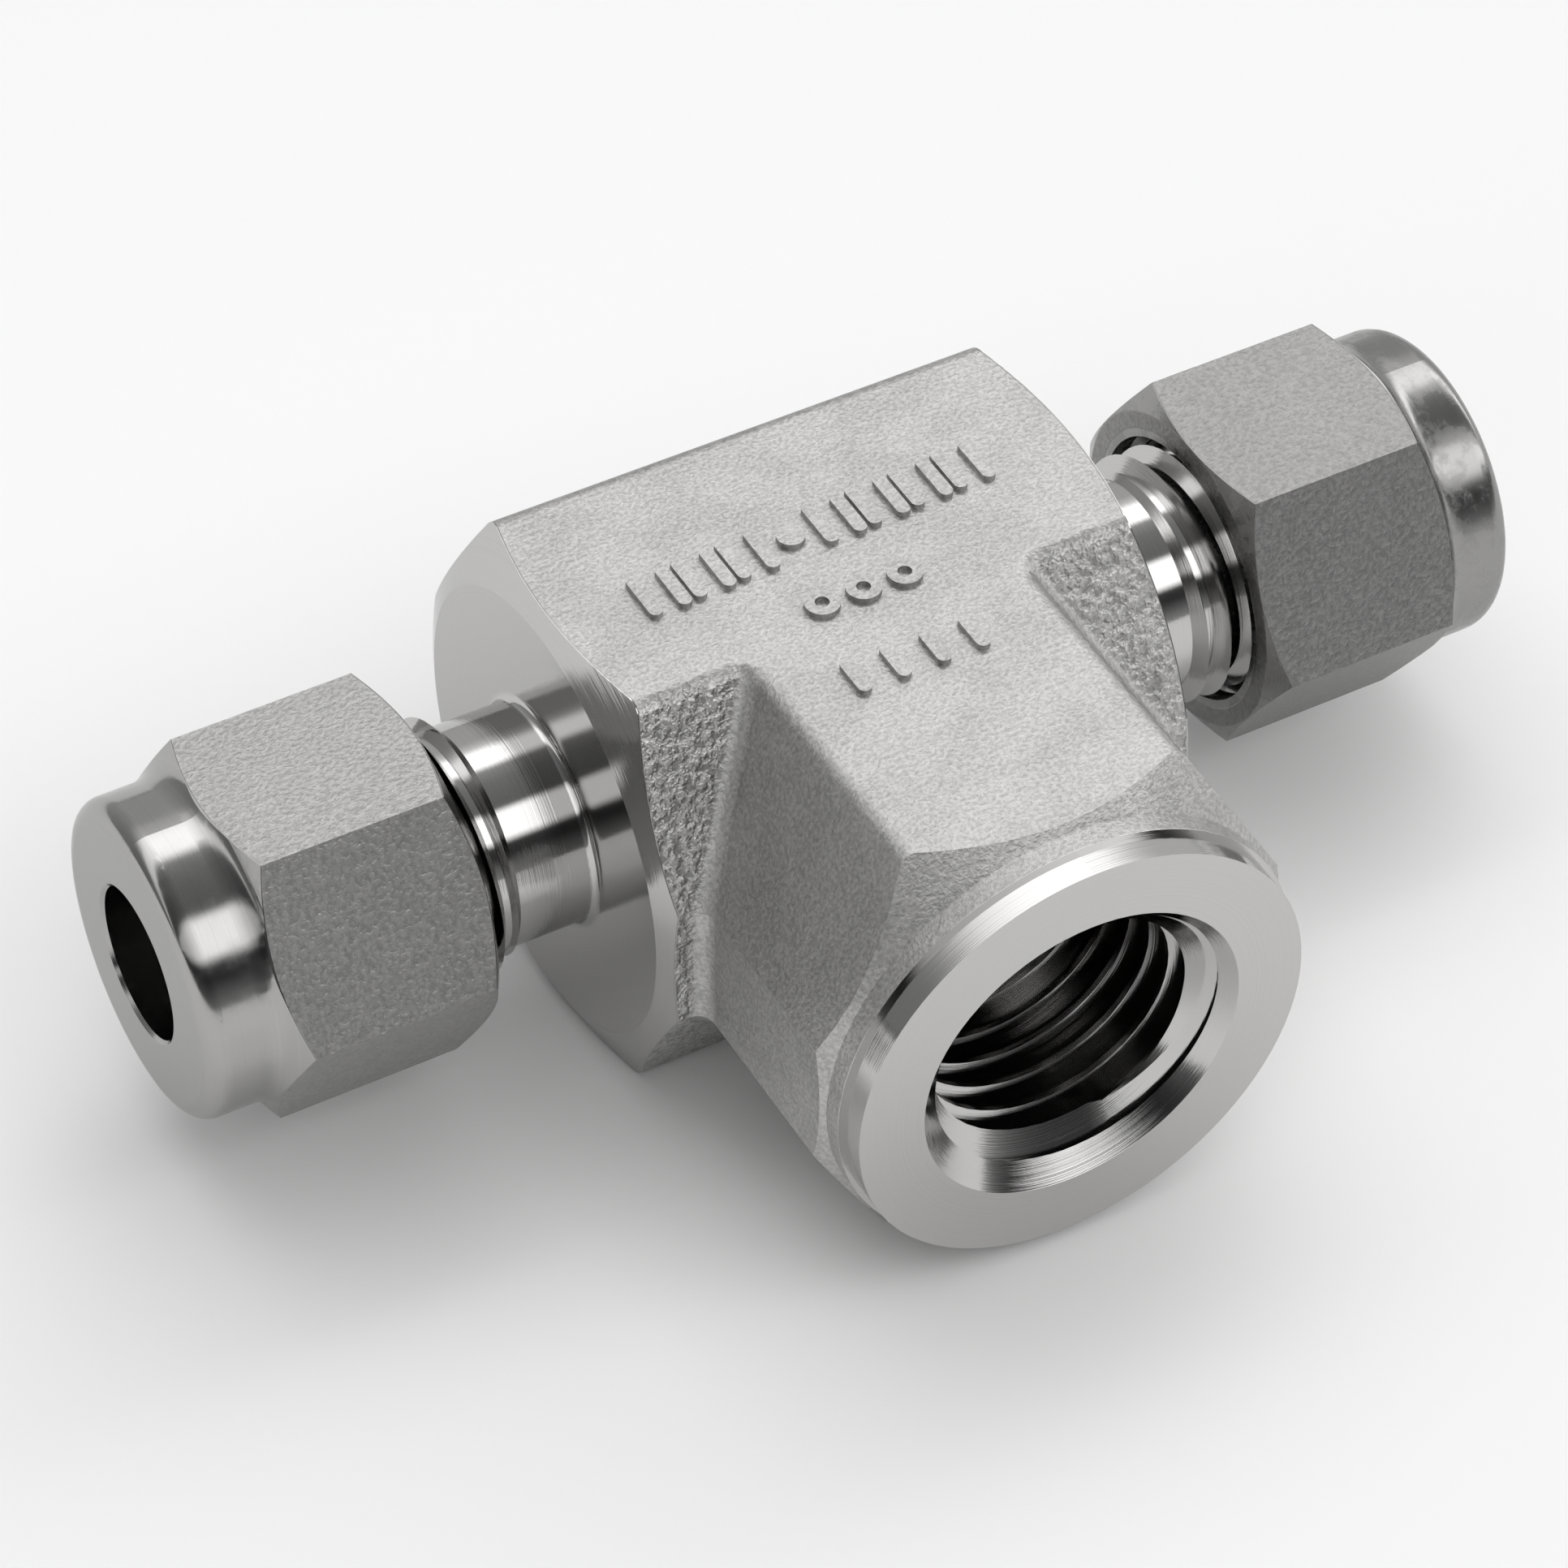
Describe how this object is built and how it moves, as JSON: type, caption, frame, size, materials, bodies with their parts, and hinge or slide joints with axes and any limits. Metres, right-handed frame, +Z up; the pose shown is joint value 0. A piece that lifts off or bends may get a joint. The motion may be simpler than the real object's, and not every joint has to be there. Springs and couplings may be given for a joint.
{
  "type": "compression fitting",
  "caption": "Forged stainless branch tee with hexagon compression nuts and loose ferrules on its run ends and a female tapered pipe port on its branch.",
  "frame": {"origin": "on the bottom flat of the forging, straight below the crossing of the bores", "axes": "+X along the run towards the right nut, -Y out of the pipe port, +Z up out of the bottom flat"},
  "size_m": [0.0614, 0.0329, 0.0216],
  "materials": {
    "forged_stainless": "fine blasted forging with bright turned ends",
    "nut_stainless": "satin flats, polished collar",
    "ferrule_stainless": "bright turned"
  },
  "bodies": {
    "tee": {"tee_body": "forged_stainless"},
    "right_ferrules": {"right_front_ferrule": "ferrule_stainless", "right_back_ferrule": "ferrule_stainless"},
    "right_nut": {"right_nut": "nut_stainless"},
    "left_ferrules": {"left_front_ferrule": "ferrule_stainless", "left_back_ferrule": "ferrule_stainless"},
    "left_nut": {"left_nut": "nut_stainless"}
  },
  "joints": [
    {"name": "right_nut_travel", "type": "slide", "parent": "tee", "child": "right_ferrules", "axis": [1, 0, 0], "range_m": [0, 0.00572]},
    {"name": "right_nut_turn", "type": "hinge", "parent": "right_ferrules", "child": "right_nut", "pos_m": [0.0244, 0, 0.0107], "axis": [1, 0, 0], "range_deg": [0, 1620]},
    {"name": "left_nut_travel", "type": "slide", "parent": "tee", "child": "left_ferrules", "axis": [-1, 0, 0], "range_m": [0, 0.00572]},
    {"name": "left_nut_turn", "type": "hinge", "parent": "left_ferrules", "child": "left_nut", "pos_m": [-0.0244, 0, 0.0107], "axis": [-1, 0, 0], "range_deg": [0, 1620]}
  ],
  "couplings": [
    {"joint": "right_nut_travel", "follows": "right_nut_turn", "m_per_rad": 0.00020213},
    {"joint": "left_nut_travel", "follows": "left_nut_turn", "m_per_rad": 0.00020213}
  ]
}
